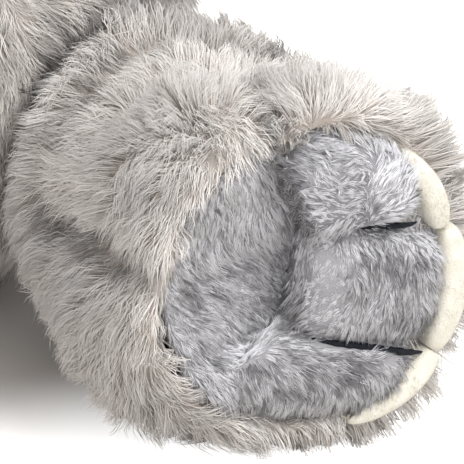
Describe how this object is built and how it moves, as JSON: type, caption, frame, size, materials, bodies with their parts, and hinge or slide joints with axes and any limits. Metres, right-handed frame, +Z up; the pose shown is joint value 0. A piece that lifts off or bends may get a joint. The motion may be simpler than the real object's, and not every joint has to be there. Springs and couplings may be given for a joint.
{
  "type": "plush elephant",
  "caption": "Sitting plush elephant in long grey pile, with short-pile soles, cream toenails, a jointed trunk, flapping ears and stuffed limbs that spring back.",
  "frame": {"origin": "centre of the flat seat panel that the toy sits on", "axes": "+Z up, the face looks along -Y, the elephant's left side is on +X"},
  "size_m": [0.4514, 0.4249, 0.4486],
  "materials": {
    "long_pile": "long combed pile",
    "short_pile": "short soft pile",
    "cream_felt": "brushed felt",
    "dark_thread": "twisted thread",
    "fibre_fill": "loose fibre",
    "pellet_cloth": "plain weave",
    "eye_plastic": "polished",
    "washer_plastic": "moulded"
  },
  "bodies": {
    "torso": {"body_skin": "long_pile", "seat_panel": "long_pile", "pellet_bag": "pellet_cloth", "body_stuffing": "fibre_fill"},
    "head": {"head_skin": "long_pile", "head_stuffing": "fibre_fill", "eye_left": "eye_plastic", "eye_right": "eye_plastic", "eye_washer_left": "washer_plastic", "eye_washer_right": "washer_plastic"},
    "trunk_upper": {"trunk_upper_skin": "long_pile", "trunk_upper_stuffing": "fibre_fill"},
    "trunk_tip": {"trunk_tip_skin": "long_pile", "trunk_tip_stuffing": "fibre_fill", "trunk_nose_pad": "short_pile"},
    "ear_left": {"ear_back_left": "long_pile", "ear_lining_left": "short_pile"},
    "ear_right": {"ear_back_right": "long_pile", "ear_lining_right": "short_pile"},
    "hind_left_leg": {"hind_left_leg_skin": "long_pile", "hind_left_leg_stuffing": "fibre_fill", "hind_left_heel_pad": "short_pile", "hind_left_toe_pad": "short_pile", "hind_left_nail_upper": "cream_felt", "hind_left_nail_middle": "cream_felt", "hind_left_nail_lower": "cream_felt", "hind_left_toe_thread_upper": "dark_thread", "hind_left_toe_thread_lower": "dark_thread"},
    "hind_right_leg": {"hind_right_leg_skin": "long_pile", "hind_right_leg_stuffing": "fibre_fill", "hind_right_heel_pad": "short_pile", "hind_right_toe_pad": "short_pile", "hind_right_nail_upper": "cream_felt", "hind_right_nail_middle": "cream_felt", "hind_right_nail_lower": "cream_felt", "hind_right_toe_thread_upper": "dark_thread", "hind_right_toe_thread_lower": "dark_thread"},
    "front_left_leg": {"front_left_leg_skin": "long_pile", "front_left_leg_stuffing": "fibre_fill", "front_left_heel_pad": "short_pile", "front_left_toe_pad": "short_pile", "front_left_nail_upper": "cream_felt", "front_left_nail_middle": "cream_felt", "front_left_nail_lower": "cream_felt", "front_left_toe_thread_upper": "dark_thread", "front_left_toe_thread_lower": "dark_thread"},
    "front_right_leg": {"front_right_leg_skin": "long_pile", "front_right_leg_stuffing": "fibre_fill", "front_right_heel_pad": "short_pile", "front_right_toe_pad": "short_pile", "front_right_nail_upper": "cream_felt", "front_right_nail_middle": "cream_felt", "front_right_nail_lower": "cream_felt", "front_right_toe_thread_upper": "dark_thread", "front_right_toe_thread_lower": "dark_thread"},
    "tail": {"tail_cord": "long_pile", "tail_tuft": "long_pile"}
  },
  "joints": [
    {"name": "head_nod", "type": "hinge", "parent": "torso", "child": "head", "pos_m": [0, -0.026, 0.345], "axis": [-1, 0, 0], "range_deg": [-10, 14], "stiffness_Nm_per_rad": 2},
    {"name": "trunk_swing", "type": "hinge", "parent": "head", "child": "trunk_upper", "pos_m": [0, -0.1337, 0.31815], "axis": [-1, 0, 0], "range_deg": [-8, 30], "stiffness_Nm_per_rad": 0.6},
    {"name": "trunk_curl", "type": "hinge", "parent": "trunk_upper", "child": "trunk_tip", "pos_m": [0, -0.19095, 0.23132], "axis": [-1, 0, 0], "range_deg": [-5, 38], "stiffness_Nm_per_rad": 0.25},
    {"name": "left_ear_flap", "type": "hinge", "parent": "head", "child": "ear_left", "pos_m": [0.102, -0.016, 0.36], "axis": [0, 0, -1], "range_deg": [-12, 30], "stiffness_Nm_per_rad": 0.15},
    {"name": "right_ear_flap", "type": "hinge", "parent": "head", "child": "ear_right", "pos_m": [-0.102, -0.016, 0.36], "axis": [0, 0, 1], "range_deg": [-12, 30], "stiffness_Nm_per_rad": 0.15},
    {"name": "left_hind_leg_spread", "type": "hinge", "parent": "torso", "child": "hind_left_leg", "pos_m": [0.11009, -0.08496, 0.06], "axis": [0, 0, 1], "range_deg": [-14, 16], "stiffness_Nm_per_rad": 1},
    {"name": "right_hind_leg_spread", "type": "hinge", "parent": "torso", "child": "hind_right_leg", "pos_m": [-0.11009, -0.08496, 0.06], "axis": [0, 0, -1], "range_deg": [-14, 16], "stiffness_Nm_per_rad": 1},
    {"name": "left_front_leg_lift", "type": "hinge", "parent": "torso", "child": "front_left_leg", "pos_m": [0.11405, -0.04931, 0.2127], "axis": [-0.6845, -0.729, 0], "range_deg": [-8, 20], "stiffness_Nm_per_rad": 0.6},
    {"name": "right_front_leg_lift", "type": "hinge", "parent": "torso", "child": "front_right_leg", "pos_m": [-0.11405, -0.04931, 0.2127], "axis": [-0.6845, 0.729, 0], "range_deg": [-8, 20], "stiffness_Nm_per_rad": 0.6},
    {"name": "tail_wag", "type": "hinge", "parent": "torso", "child": "tail", "pos_m": [0, 0.11528, 0.06], "axis": [0, 0, 1], "range_deg": [-35, 35], "stiffness_Nm_per_rad": 0.05}
  ]
}
